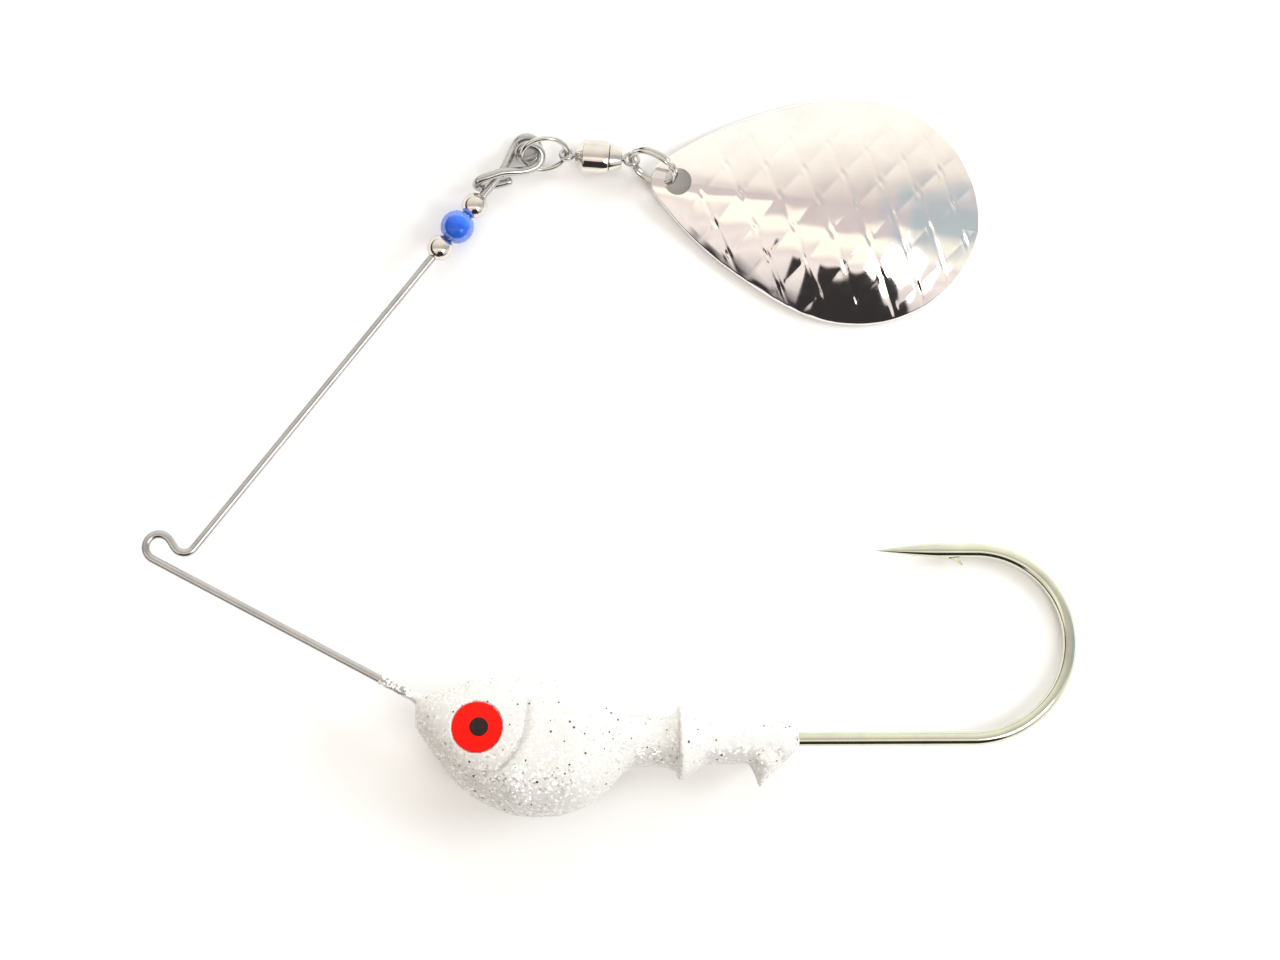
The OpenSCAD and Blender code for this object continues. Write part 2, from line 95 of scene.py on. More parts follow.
def grid_faces(rows, cols, wrap=True, start=0):
    """Quads between rows of cols points each, closed round each row when wrap is set."""
    last = cols if wrap else cols - 1
    return [
        (start + i * cols + k, start + i * cols + (k + 1) % cols,
         start + (i + 1) * cols + (k + 1) % cols, start + (i + 1) * cols + k)
        for i in range(rows - 1)
        for k in range(last)
    ]


def lofted(rings):
    """Closed mesh through equal rings of points."""
    rings = [np.asarray(r) for r in rings]
    n, sides = len(rings), len(rings[0])
    verts = np.vstack(rings + [rings[0].mean(0)[None], rings[-1].mean(0)[None]])
    faces = grid_faces(n, sides)
    first, last = n * sides, n * sides + 1
    faces += [(first, (k + 1) % sides, k) for k in range(sides)]
    base = (n - 1) * sides
    faces += [(last, base + k, base + (k + 1) % sides) for k in range(sides)]
    return verts, faces


def carried(path):
    """Tangents and twist-free normals along a path."""
    tangents = np.gradient(path, axis=0)
    tangents /= np.linalg.norm(tangents, axis=1)[:, None]
    guess = np.array([0.0, 0.0, 1.0])
    if abs(tangents[0] @ guess) > 0.9:
        guess = np.array([0.0, 1.0, 0.0])
    normal = unit(np.cross(tangents[0], guess))
    normals = []
    for t in tangents:
        normal = unit(normal - (normal @ t) * t)
        normals.append(normal)
    return tangents, np.array(normals)


def swept(path, radii, sides=24):
    """Tube of varying radius along a path, with rounded ends."""
    path = np.asarray(path, float)
    radii = np.broadcast_to(np.asarray(radii, float), (len(path),))
    tangents, normals = carried(path)
    angles = np.linspace(0, 2 * math.pi, sides, endpoint=False)
    rings = []

    def ring(centre, t, n, r):
        b = np.cross(t, n)
        rings.append(centre + r * (np.cos(angles)[:, None] * n + np.sin(angles)[:, None] * b))

    cap = np.radians([80, 60, 35, 15])
    for a in cap:
        ring(path[0] - tangents[0] * radii[0] * math.sin(a) * CAP_FLATTEN, tangents[0], normals[0],
             radii[0] * math.cos(a))
    for p, t, n, r in zip(path, tangents, normals, radii):
        ring(p, t, n, r)
    for a in cap[::-1]:
        ring(path[-1] + tangents[-1] * radii[-1] * math.sin(a) * CAP_FLATTEN, tangents[-1], normals[-1],
             radii[-1] * math.cos(a))
    return lofted(rings)


def turned(profile, origin, axis, sides=72):
    """Closed surface of revolution of a closed loop of (distance along the axis, radius), in mm."""
    axis = unit(axis)
    side = unit(np.cross(axis, [0.0, 0.0, 1.0] if abs(axis[2]) < 0.9 else [1.0, 0.0, 0.0]))
    up = np.cross(axis, side)
    angles = np.linspace(0, 2 * math.pi, sides, endpoint=False)
    round_ = np.cos(angles)[:, None] * side + np.sin(angles)[:, None] * up
    rings = [np.asarray(origin) + MM * (s * axis + r * round_) for s, r in profile]
    verts = np.vstack(rings + rings[:1])[: len(rings) * sides]
    faces = grid_faces(len(rings), sides)
    base = (len(rings) - 1) * sides
    faces += [(base + k, base + (k + 1) % sides, (k + 1) % sides, k) for k in range(sides)]
    return verts, faces


def rounded(points, radius, steps=4):
    """A closed loop of 2-D points with each corner cut by a small arc-like curve."""
    points = [np.array(p, float) for p in points]
    out = []
    for i, p in enumerate(points):
        a, b = points[i - 1] - p, points[(i + 1) % len(points)] - p
        reach = min(radius, 0.45 * np.linalg.norm(a), 0.45 * np.linalg.norm(b))
        start, end = p + unit(a) * reach, p + unit(b) * reach
        for t in np.linspace(0, 1, steps + 1):
            out.append((1 - t) ** 2 * start + 2 * t * (1 - t) * p + t * t * end)
    return [tuple(p) for p in out]


def arc(centre, radius, start, end, steps):
    a = np.radians(np.linspace(start, end, steps + 1))
    return np.c_[centre[0] + radius * np.cos(a), centre[1] + radius * np.sin(a), np.zeros(len(a))]


def bezier(p, u, q, v, reach_p, reach_q, steps):
    """Points from p to q that leave along u and arrive along v, without the first one."""
    p, q, u, v = (np.asarray(x, float) for x in (p, q, u, v))
    t = np.linspace(0, 1, steps + 1)[1:, None]
    b, c = p + reach_p * u, q - reach_q * v
    return (1 - t) ** 3 * p + 3 * (1 - t) ** 2 * t * b + 3 * (1 - t) * t * t * c + t ** 3 * q


def smooth_rows(rows, substeps):
    """Catmull-Rom curve through rows of numbers."""
    rows = np.asarray(rows, float)
    last = len(rows) - 1
    out = []
    for t in np.linspace(0, last, last * substeps + 1):
        i = min(int(t), last - 1)
        f = t - i
        p0, p1, p2, p3 = rows[max(i - 1, 0)], rows[i], rows[i + 1], rows[min(i + 2, last)]
        out.append(0.5 * (2 * p1 + (p2 - p0) * f + (2 * p0 - 5 * p1 + 4 * p2 - p3) * f ** 2
                          + (3 * p1 - p0 - 3 * p2 + p3) * f ** 3))
    return np.array(out)


# ---------------------------------------------------------------- materials

class Tree:
    """Short calls for the nodes of one node tree."""

    def __init__(self, tree):
        self.tree = tree

    def add(self, kind, inputs=(), **props):
        node = self.tree.nodes.new(kind)
        for key, value in props.items():
            setattr(node, key, value)
        for key, value in dict(inputs).items():
            if isinstance(value, bpy.types.NodeSocket):
                self.tree.links.new(value, node.inputs[key])
            else:
                node.inputs[key].default_value = value
        return node

    def place(self, stretch=(1, 1, 1)):
        """Object coordinates, stretched along each axis."""
        coord = self.add("ShaderNodeTexCoord").outputs["Object"]
        return self.add("ShaderNodeMapping", {"Vector": coord, "Scale": stretch}).outputs["Vector"]

    def noise(self, scale, detail=3.0, stretch=(1, 1, 1), rough=0.55):
        inputs = {"Vector": self.place(stretch), "Scale": scale, "Detail": detail, "Roughness": rough}
        return self.add("ShaderNodeTexNoise", inputs).outputs["Fac"]

    def cells(self, scale, feature="F1", randomness=1.0):
        inputs = {"Vector": self.place(), "Scale": scale, "Randomness": randomness}
        return self.add("ShaderNodeTexVoronoi", inputs, feature=feature)

    def remap(self, value, low, high, to_low, to_high):
        inputs = {"Value": value, "From Min": low, "From Max": high, "To Min": to_low, "To Max": to_high}
        return self.add("ShaderNodeMapRange", inputs).outputs["Result"]

    def math(self, operation, a, b=0.0):
        return self.add("ShaderNodeMath", {0: a, 1: b}, operation=operation).outputs[0]

    def mix(self, factor, a, b):
        # The colour mode's own sockets are found by number: they share their names with the other modes
        return self.add("ShaderNodeMix", {0: factor, 6: a, 7: b}, data_type="RGBA").outputs[2]


class Nodes(Tree):
    """A material with its Principled shader."""

    def __init__(self, name, **sockets):
        self.mat = bpy.data.materials.new(name)
        self.mat.use_nodes = True
        super().__init__(self.mat.node_tree)
        self.shader = self.tree.nodes["Principled BSDF"]
        for key, value in sockets.items():
            self.set(key, value)

    def set(self, key, value):
        self.shader.inputs[key.replace("_", " ")].default_value = value

    def link(self, socket, key):
        self.tree.links.new(socket, self.shader.inputs[key])

    def bump(self, height, strength, distance):
        inputs = {"Height": height, "Strength": strength, "Distance": distance}
        self.link(self.add("ShaderNodeBump", inputs).outputs["Normal"], "Normal")


def metal(name, light, dark, rough_low, rough_high, grain=1400.0, bump=0.04):
    """Bare or plated metal: faint tarnish, uneven gloss and fine drawing marks."""
    m = Nodes(name, Metallic=1.0)
    m.link(m.mix(m.remap(m.noise(260.0, 4.0), 0.35, 0.7, 0.0, 1.0), light, dark), "Base Color")
    fine = m.noise(grain, 5.0)
    m.link(m.remap(fine, 0.3, 0.7, rough_low, rough_high), "Roughness")
    m.bump(fine, bump, 0.00002)
    return m.mat


def paint_material():
    """White powder paint full of fine silver flakes that lie at odd angles, with sparse dark ones."""
    m = Nodes("glitter_paint", Coat_Weight=0.12, Coat_Roughness=0.2, Specular_IOR_Level=0.35)
    cloud = m.remap(m.noise(120.0, 2.0), 0.35, 0.68, 0.0, 1.0)
    flake = m.cells(3900.0)
    pick = m.add("ShaderNodeSeparateColor", {"Color": flake.outputs["Color"]}).outputs
    silver = m.math("GREATER_THAN", pick[0], m.remap(cloud, 0, 1, 0.66, 0.42))
    ground = m.mix(silver, (0.67, 0.665, 0.65, 1), (0.83, 0.82, 0.80, 1))
    speck = m.cells(2300.0)
    rare = m.add("ShaderNodeSeparateColor", {"Color": speck.outputs["Color"]}).outputs
    dark = m.math("MULTIPLY", m.math("GREATER_THAN", rare[2], 0.95),
                  m.math("LESS_THAN", speck.outputs["Distance"], m.remap(rare[0], 0, 1, 0.20, 0.40)))
    m.link(m.mix(dark, ground, (0.05, 0.047, 0.05, 1)), "Base Color")
    m.link(m.math("MULTIPLY", silver, 0.62), "Metallic")
    m.link(m.remap(pick[2], 0.0, 1.0, 0.26, 0.55), "Roughness")
    tilt = m.add("ShaderNodeVectorMath", {0: flake.outputs["Color"], 1: (0.5, 0.5, 0.5)},
                 operation="SUBTRACT")
    tilt = m.add("ShaderNodeVectorMath", {0: tilt.outputs[0], "Scale": m.math("MULTIPLY", silver, 0.70)},
                 operation="SCALE")
    skin = m.add("ShaderNodeNewGeometry").outputs["Normal"]
    facing = m.add("ShaderNodeVectorMath", {0: skin, 1: tilt.outputs[0]}, operation="ADD")
    facing = m.add("ShaderNodeVectorMath", {0: facing.outputs[0]}, operation="NORMALIZE")
    m.link(facing.outputs[0], "Normal")
    return m.mat


def dusted_wire_material():
    """Bright wire under a dusting of the same paint."""
    m = Nodes("dusted_wire", Roughness=0.3)
    grain = m.cells(4200.0)
    pick = m.add("ShaderNodeSeparateColor", {"Color": grain.outputs["Color"]}).outputs
    bare = m.math("GREATER_THAN", pick[0], 0.42)
    m.link(m.mix(bare, (0.92, 0.91, 0.89, 1), (0.50, 0.49, 0.48, 1)), "Base Color")
    m.link(bare, "Metallic")
    m.bump(pick[1], 0.3, 0.00005)
    return m.mat


def eye_material():
    """Bright red printed film, slightly flecked, under clear resin."""
    m = Nodes("eye_red", Coat_Weight=0.15, Coat_Roughness=0.05, Roughness=0.4, Specular_IOR_Level=0.1)
    flecks = m.remap(m.noise(2400.0, 4.0), 0.42, 0.62, 0.0, 1.0)
    m.link(m.mix(flecks, (1.0, 0.006, 0.0, 1), (0.92, 0.004, 0.002, 1)), "Base Color")
    m.bump(m.noise(300.0, 2.0), 0.05, 0.00005)
    return m.mat


def pupil_material():
    m = Nodes("eye_pupil", Coat_Weight=0.15, Coat_Roughness=0.05, Roughness=0.4, Specular_IOR_Level=0.25)
    m.link(m.mix(m.remap(m.noise(1800.0, 3.0), 0.4, 0.65, 0.0, 1.0),
                 (0.008, 0.005, 0.005, 1), (0.03, 0.006, 0.005, 1)), "Base Color")
    return m.mat


def blue_glass():
    """Translucent moulded blue bead."""
    m = Nodes("blue_bead", Roughness=0.10, IOR=1.45, Transmission_Weight=0.15, Specular_IOR_Level=0.4)
    m.link(m.mix(m.remap(m.noise(350.0, 2.0), 0.35, 0.65, 0.0, 1.0),
                 (0.016, 0.10, 0.62, 1), (0.035, 0.17, 0.78, 1)), "Base Color")
    m.bump(m.noise(500.0, 2.0), 0.04, 0.00005)
    return m.mat


WIRE = metal("wire_steel", (0.56, 0.555, 0.55, 1), (0.46, 0.455, 0.45, 1), 0.13, 0.22, 900.0, bump=0.01)
PAINT = paint_material()
DUSTED = dusted_wire_material()
HOOK = metal("hook_nickel", (0.72, 0.745, 0.61, 1), (0.62, 0.635, 0.53, 1),
             0.05, 0.12, 700.0, bump=0.01)
EYE_RED = eye_material()
PUPIL = pupil_material()
NICKEL = metal("bright_nickel", (0.80, 0.765, 0.72, 1), (0.68, 0.645, 0.60, 1),
               0.05, 0.11, 900.0, bump=0.01)
RING = metal("ring_nickel", (0.72, 0.70, 0.67, 1), (0.55, 0.53, 0.51, 1),
             0.07, 0.16, 1100.0, bump=0.015)
BLUE = blue_glass()
BLADE = metal("blade_nickel", (0.93, 0.90, 0.885, 1), (0.87, 0.83, 0.82, 1),
              0.05, 0.11, 900.0, bump=0.01)
STEEL = metal("bearing_steel", (0.62, 0.61, 0.60, 1), (0.45, 0.44, 0.43, 1), 0.12, 0.25)


# ---------------------------------------------------------------- wire form

WIRE_R = 0.5
NOSE = np.array([-23.0, -28.9])
HOOK_EYE = np.array([-16.8, -33.8])
ARM_END_Y = -35.6
ARM_END_BEND_R = 0.8
LOWER_ANGLE, UPPER_ANGLE = 28.0, 50.9
LOWER_DIR = np.array([math.cos(math.radians(LOWER_ANGLE)), -math.sin(math.radians(LOWER_ANGLE)), 0])
UPPER_DIR = np.array([math.cos(math.radians(UPPER_ANGLE)), math.sin(math.radians(UPPER_ANGLE)), 0])
UPPER_ARM_POINT = np.array([-20.4, 24.7, 0.0])
LOOP_R, VALLEY_R = 1.55, 1.4
COIL_R, COIL_PITCH, COIL_FROM, COIL_TO = 1.3, 1.97, 150.0, -425.0
COIL_CENTRE = np.array([-9.75, 36.3, 0.0])
COIL_AXIS = unit([0.135, -0.58, 0.803])
CLIP_HEIGHT = 1.05


def upper_point(x):
    return UPPER_ARM_POINT + UPPER_DIR * (x - UPPER_ARM_POINT[0]) / UPPER_DIR[0]


def lower_point(x):
    return np.array([x, NOSE[1] + (x - NOSE[0]) * LOWER_DIR[1] / LOWER_DIR[0], 0.0])


def line(p, q, steps):
    return np.linspace(p, q, steps + 1)


def line_tie():
    """The loop and valley where the line is tied, between the two arms."""
    start = lower_point(-54.25)
    exit_ = upper_point(-49.44)
    loop = start - LOOP_R * np.array([LOWER_DIR[1], -LOWER_DIR[0], 0])
    valley = exit_ + VALLEY_R * np.array([-UPPER_DIR[1], UPPER_DIR[0], 0])
    gap = valley - loop
    crossing = math.asin((LOOP_R + VALLEY_R) / np.linalg.norm(gap))
    heading = math.degrees(math.atan2(gap[1], gap[0]) - crossing)
    return np.vstack([
        arc(loop, LOOP_R, 270 - LOWER_ANGLE, heading + 90, 44),
        arc(valley, VALLEY_R, heading - 90, UPPER_ANGLE - 90, 30)])


def coil_point(a):
    e1 = unit(np.cross([0, 1, 0], COIL_AXIS))
    e2 = np.cross(COIL_AXIS, e1)
    along = COIL_PITCH * ((COIL_FROM - a) / 360 - (COIL_FROM - COIL_TO) / 720)
    turn = math.radians(a)
    return COIL_CENTRE + COIL_R * (math.cos(turn) * e1 + math.sin(turn) * e2) + COIL_AXIS * along


def coil_and_clip():
    top = upper_point(-13.2)
    coil = np.array([coil_point(a) for a in np.linspace(COIL_FROM, COIL_TO, 120)])
    leg_dir, under_dir, down = unit([-0.946, -0.323, 0]), unit([3.2, 0.85, 0]), unit([0, -0.15, -1])
    cross, end = np.array([-13.4, 33.6, CLIP_HEIGHT]), np.array([-15.3, 32.95, CLIP_HEIGHT])
    turn, under = np.array([-16.0, 32.3, 0]), np.array([-15.2, 32.1, -CLIP_HEIGHT])
    return np.vstack([
        bezier(top, UPPER_DIR, coil[0], unit(coil[1] - coil[0]), 1.2, 0.9, 16),
        coil[1:],
        bezier(coil[-1], unit(coil[-1] - coil[-2]), cross, leg_dir, 1.6, 1.2, 16),
        bezier(cross, leg_dir, end, leg_dir, 0.5, 0.5, 5),
        bezier(end, leg_dir, turn, down, 0.7, 0.55, 10),
        bezier(turn, down, under, under_dir, 0.55, 0.4, 10),
        line(under, under + under_dir * 3.3, 8)[1:]])


def make_wire():
    corner = HOOK_EYE[0] - ARM_END_BEND_R * (1 - math.sin(math.radians(LOWER_ANGLE)))
    bend_start = lower_point(corner)
    bend = bend_start + ARM_END_BEND_R * np.array([LOWER_DIR[1], -LOWER_DIR[0], 0])
    tie = line_tie()
    path = np.vstack([
        line([HOOK_EYE[0], ARM_END_Y, 0], [HOOK_EYE[0], bend[1], 0], 3)[:-1],
        arc(bend, ARM_END_BEND_R, 0, 90 - LOWER_ANGLE, 10),
        line(bend_start, tie[0], 40)[1:-1],
        tie,
        line(tie[-1], upper_point(-13.2), 60)[1:],
        coil_and_clip()])
    verts, faces = swept(path, WIRE_R, 24)
    return piece("wire_arm_wire", lure(verts), faces, WIRE, "wire_arm", ["wire_form"])


# ---------------------------------------------------------------- beads

UPPER_BEAD_X = -16.25


def make_bead(name, node, body, d, half_l, material, place):
    """A moulded ball with a rounded bore edge; place is its distance down the arm from the top bead."""
    bore, r = WIRE_R + 0.09, d / 2
    flat_r = math.sqrt(r * r - half_l * half_l)
    profile = [(half_l - 0.02, bore), (half_l, bore + 0.05), (half_l, flat_r * 0.8)]
    start = math.degrees(math.acos(half_l / r))
    profile += [(r * math.cos(math.radians(a)), r * math.sin(math.radians(a)))
                for a in np.linspace(start * 1.1, 180 - start * 1.1, 44)]
    profile += [(-half_l, flat_r * 0.8), (-half_l, bore + 0.05), (-half_l + 0.02, bore)]
    centre = upper_point(UPPER_BEAD_X) - UPPER_DIR * place
    verts, faces = turned(profile, lure(centre), lure_dir(UPPER_DIR), 96)
    return piece(name, verts, faces, material, body, [node], sharp=50)


# ---------------------------------------------------------------- rings and swivel

def joint_pos(name):
    return np.array(JOINTS[name]["pos_m"])


def joint_axis(name):
    return unit(JOINTS[name]["axis"])


def ring_basis(axis):
    e1 = unit(np.cross(axis, np.cross([1, 0, 0], axis)))
    return e1, np.cross(axis, e1)


def closed_tube(path, r, sides=20):
    """A closed loop of round wire."""
    n = len(path)
    tangent = np.roll(path, -1, 0) - np.roll(path, 1, 0)
    tangent /= np.linalg.norm(tangent, axis=1)[:, None]
    centre = path.mean(0)
    angles = np.linspace(0, 2 * math.pi, sides, endpoint=False)
    rings = []
    for p, t in zip(path, tangent):
        out = unit((p - centre) - ((p - centre) @ t) * t)
        b = np.cross(t, out)
        rings.append(p + r * (np.cos(angles)[:, None] * out + np.sin(angles)[:, None] * b))
    faces = [(i * sides + k, i * sides + (k + 1) % sides,
              (i + 1) % n * sides + (k + 1) % sides, (i + 1) % n * sides + k)
             for i in range(n) for k in range(sides)]
    return np.vstack(rings), faces


def make_front_ring():
    e1, e2 = ring_basis(unit([0.086, -0.824, 0.56]))
    a = np.linspace(0, 2 * math.pi, 128, endpoint=False)[:, None]
    path = np.array([-7.95, 35.9, 1.243]) + 2.7 * (np.cos(a) * e1 + np.sin(a) * e2)
    verts, faces = closed_tube(path, 0.3)
    return piece("front_ring_wire", lure(verts), faces, RING, "front_ring", ["front_ring"])


SPLIT_R, SPLIT_WIRE_R, SPLIT_STEP = 2.87, 0.275, 0.48
SPLIT_HEADING, SPLIT_LEAN, REAR_RING_ANGLE = -29.0, 27.0, 200.0


def make_split_ring():
    """Two turns of wire side by side: the ramp between them sits between the wire's two ends."""
    h, lean = math.radians(SPLIT_HEADING), math.radians(SPLIT_LEAN)
    e1 = np.array([math.cos(h), math.sin(h), 0])
    e2 = np.array([-math.sin(h) * math.sin(lean), math.cos(h) * math.sin(lean), math.cos(lean)])
    axis = np.cross(e1, e2)
    rear = math.radians(REAR_RING_ANGLE)
    centre = joint_pos("split_ring_swing") - SPLIT_R * MM * (math.cos(rear) * e1 + math.sin(rear) * e2)
    turns, ramp = 706.0, 24.0
    a = np.linspace(0, turns, 300)
    f = np.clip((a - (turns - ramp) / 2) / ramp, 0, 1)
    offset = SPLIT_STEP * (f * f * (3 - 2 * f) - 0.5)
    b = np.radians(a + 62.0)[:, None]
    path = centre + MM * (SPLIT_R * (np.cos(b) * e1 + np.sin(b) * e2) + offset[:, None] * axis)
    verts, faces = swept(path, SPLIT_WIRE_R * MM, 20)
    return piece("split_ring_coils", verts, faces, RING, "split_ring", ["split_ring"])


SWIVEL_START = joint_pos("swivel_spin")
SWIVEL_AXIS = joint_axis("swivel_spin")
BARREL_S, BARREL_R, PIN_R = 1.03, 2.05, 0.42
SHOULDER_S, SEAM_S, CAP_S = BARREL_S + 0.95, BARREL_S + 4.1, BARREL_S + 5.6


def make_swivel():
    barrel = rounded([
        (BARREL_S, PIN_R + 0.01), (BARREL_S, 0.85), (SHOULDER_S, BARREL_R), (SEAM_S - 0.8, BARREL_R),
        (SEAM_S - 0.04, 1.87), (SEAM_S - 0.04, 1.45), (SHOULDER_S + 0.3, 1.45),
        (SHOULDER_S + 0.3, PIN_R + 0.01)], 0.16)
    cap = rounded([
        (SEAM_S - 0.5, PIN_R + 0.05), (SEAM_S - 0.5, 1.44), (SEAM_S + 0.02, 1.44), (SEAM_S + 0.02, 1.8),
        (CAP_S, 1.2), (CAP_S, PIN_R + 0.05)], 0.12)
    verts, faces = turned(barrel, SWIVEL_START, SWIVEL_AXIS, 96)
    piece("swivel_barrel_shell", verts, faces, NICKEL, "swivel_body", ["swivel_barrel"], sharp=55)
    verts, faces = turned(cap, SWIVEL_START, SWIVEL_AXIS, 96)
    piece("swivel_cap_shell", verts, faces, NICKEL, "swivel_body", ["swivel_cap"], sharp=55)


def eye_pin(name, node, body, hole, hole_axis, inward, stem_from, stem_to, r_out, r_hole, thick):
    """A pin whose end is flattened into an eye: a rounded washer with the stem growing out of it."""
    hole_axis = unit(hole_axis - (hole_axis @ SWIVEL_AXIS) * SWIVEL_AXIS)
    half = thick / 2
    washer = rounded([(-half, r_hole), (-half, r_out - 0.1), (-half * 0.5, r_out), (half * 0.5, r_out),
                      (half, r_out - 0.1), (half, r_hole)], 0.1)
    v1, f1 = turned(washer, hole, hole_axis, 64)
    mid = (r_out + r_hole) / 2
    path = np.array([hole + SWIVEL_AXIS * MM * s for s in
                     np.r_[inward * mid, np.linspace(stem_from, stem_to, 12)]])
    v2, f2 = swept(path, PIN_R * MM, 24)
    faces = list(f1) + [tuple(i + len(v1) for i in f) for f in f2]
    return piece(name, np.vstack([v1, v2]), faces, STEEL, body, [node], sharp=50)


def make_swivel_pins():
    front, rear = joint_pos("swivel_swing"), joint_pos("split_ring_swing")
    eye_pin("front_eye_pin_loop", "front_eye_pin", "swivel_body", front, joint_axis("swivel_swing"),
            1, 0.8, SHOULDER_S + 0.3, 0.95, 0.56, 0.6)
    eye_pin("rear_eye_pin_loop", "rear_eye_pin", "swivel_spindle", rear, joint_axis("split_ring_swing"),
            -1, -0.9, SEAM_S - 2.6 - 7.76, 1.05, 0.68, 0.6)


# ---------------------------------------------------------------- head

HEAD_ROWS = [
    [-23.35, -30.3, -31.6, 0.5], [-23.1, -29.2, -32.5, 1.6], [-22.0, -28.4, -34.2, 2.7],
    [-20.4, -27.7, -36.5, 3.7], [-18.0, -27.0, -39.3, 4.6], [-15.4, -26.5, -41.1, 5.2],
    [-12.0, -26.35, -42.55, 5.6], [-8.0, -26.5, -42.9, 5.5], [-5.0, -27.0, -42.4, 5.45],
    [-2.5, -27.95, -41.3, 4.9], [-0.5, -29.1, -39.7, 4.2], [1.1, -30.4, -38.0, 3.4],
    [2.6, -31.4, -36.9, 2.75]]
HEAD_FULLNESS = 0.92
TAIL_Y = -34.1
TAIL_PROFILE = [
    (0.4, 0.0), (0.4, 2.6), (2.6, 2.95), (4.6, 2.86), (6.2, 3.0), (7.2, 3.35), (7.66, 3.6), (7.8, 4.42),
    (8.12, 4.5), (8.5, 4.3), (9.6, 3.6), (10.9, 2.68), (13.0, 2.6), (20.3, 2.6), (21.4, 2.15), (22.1, 1.2),
    (22.4, 0.0)]
# The keeper's barb, level by level below the keeper: Y, its two edges along X and its half thickness
BARB_LEVELS = [
    (-35.4, 15.2, 21.3, 2.4), (-36.4, 16.0, 20.4, 2.25), (-37.2, 16.5, 19.7, 1.8),
    (-38.2, 16.95, 18.75, 1.15), (-39.0, 17.25, 18.0, 0.6), (-39.4, 17.4, 17.65, 0.2)]
# The keeper's end is cut off along the barb's back: one point of that face and its slope
KEEPER_END = (17.7, -39.3, 1.05)
EYE_SEAT = np.array([-16.1, -32.2, 4.4])
EYE_NORMAL = unit([-0.2, 0.17, 1.0])
EYE_R, PUPIL_R, FILM_T = 3.0, 1.125, 0.3
PUPIL_SHIFT = 0.27
COAT_VOXEL = 0.13
DUST_END_X = -24.4
# The gill plate's rear edge, from the top of the cheek down and forward under the eye
GILL_EDGE = [
    (-10.4, -28.9), (-10.55, -31.0), (-10.95, -33.2), (-12.1, -35.2), (-13.4, -36.6), (-14.6, -37.7)]
GILL_RISE, GILL_GROOVE = 0.26, 0.55


def head_section(row, sides=96):
    a = np.radians(np.arange(sides) * 360 / sides)
    cos, sin = np.cos(a), np.sin(a)
    ease_c = np.sign(cos) * np.abs(cos) ** HEAD_FULLNESS
    ease_s = np.sign(sin) * np.abs(sin) ** HEAD_FULLNESS
    x, top, bottom, half_t = row
    return np.c_[np.full(sides, x), (top + bottom) / 2 + (top - bottom) / 2 * ease_c, half_t * ease_s]


def barb_solid(sides=40):
    a = np.radians(np.arange(sides) * 360 / sides)
    rings = [np.c_[(x0 + x1) / 2 + (x1 - x0) / 2 * np.cos(a), np.full(sides, y), half_t * np.sin(a)]
             for y, x0, x1, half_t in smooth_rows(BARB_LEVELS, 4)]
    return lofted(rings)


def tail_solid(sides=96):
    a = np.radians(np.arange(sides) * 360 / sides)
    rings = [np.c_[np.full(sides, x), TAIL_Y + max(r, 0.02) * np.cos(a), max(r, 0.02) * np.sin(a)]
             for x, r in TAIL_PROFILE]
    return lofted(rings)


def nose_coat():
    """Powder that ran a few millimetres up the wire in front of the nose."""
    reach = np.linspace(0.0, 6.4, 26)
    path = np.array([NOSE[0] + 1.2, lower_point(NOSE[0] + 1.2)[1], 0]) - np.outer(reach, LOWER_DIR)
    radii = 0.575 + 0.03 * np.sin(reach * 2.3 + 1.0) + 0.02 * np.sin(reach * 5.1)
    radii += 0.30 * np.clip(1 - reach / 2.2, 0, 1)
    return swept(path, radii, 20)


def remeshed(parts, voxel):
    """One closed skin round several overlapping closed meshes, in the same units."""
    mesh = bpy.data.meshes.new("skin")
    verts, faces, start = [], [], 0
    for v, f in parts:
        verts.append(np.asarray(v))
        faces += [tuple(int(i) + start for i in face) for face in f]
        start += len(v)
    mesh.from_pydata(np.vstack(verts).tolist(), [], faces)
    obj = bpy.data.objects.new("skin", mesh)
    bpy.context.scene.collection.objects.link(obj)
    skin = obj.modifiers.new("skin", "REMESH")
    skin.mode = "VOXEL"
    skin.voxel_size = voxel
    result = obj.evaluated_get(bpy.context.evaluated_depsgraph_get()).to_mesh()
    out = np.empty(len(result.vertices) * 3)
    result.vertices.foreach_get("co", out)
    quads = [tuple(p.vertices) for p in result.polygons]
    bpy.data.objects.remove(obj)
    return out.reshape(-1, 3), quads


def relaxed(verts, faces, passes, factor=0.5):
    """Vertices moved part of the way to the mean of their neighbours."""
    edges = np.array([(f[i], f[i - 1]) for f in faces for i in range(len(f))])
    count = np.zeros(len(verts))
    np.add.at(count, edges[:, 0], 1)
    np.add.at(count, edges[:, 1], 1)
    for _ in range(passes):
        total = np.zeros_like(verts)
        np.add.at(total, edges[:, 0], verts[edges[:, 1]])
        np.add.at(total, edges[:, 1], verts[edges[:, 0]])
        verts = verts + factor * (total / count[:, None] - verts)
    return verts


def to_polyline(points, line_points):
    """Distance from 2-D points to a polyline, and which side they are on (positive on its left)."""
    best = np.full(len(points), np.inf)
    side = np.ones(len(points))
    for p, q in zip(line_points[:-1], line_points[1:]):
        d = q - p
        t = np.clip((points - p) @ d / (d @ d), 0, 1)
        off = points - (p + t[:, None] * d)
        dist = np.linalg.norm(off, axis=1)
        closer = dist < best
        best = np.where(closer, dist, best)
        side = np.where(closer, np.sign(d[0] * off[:, 1] - d[1] * off[:, 0]), side)
    return best, side


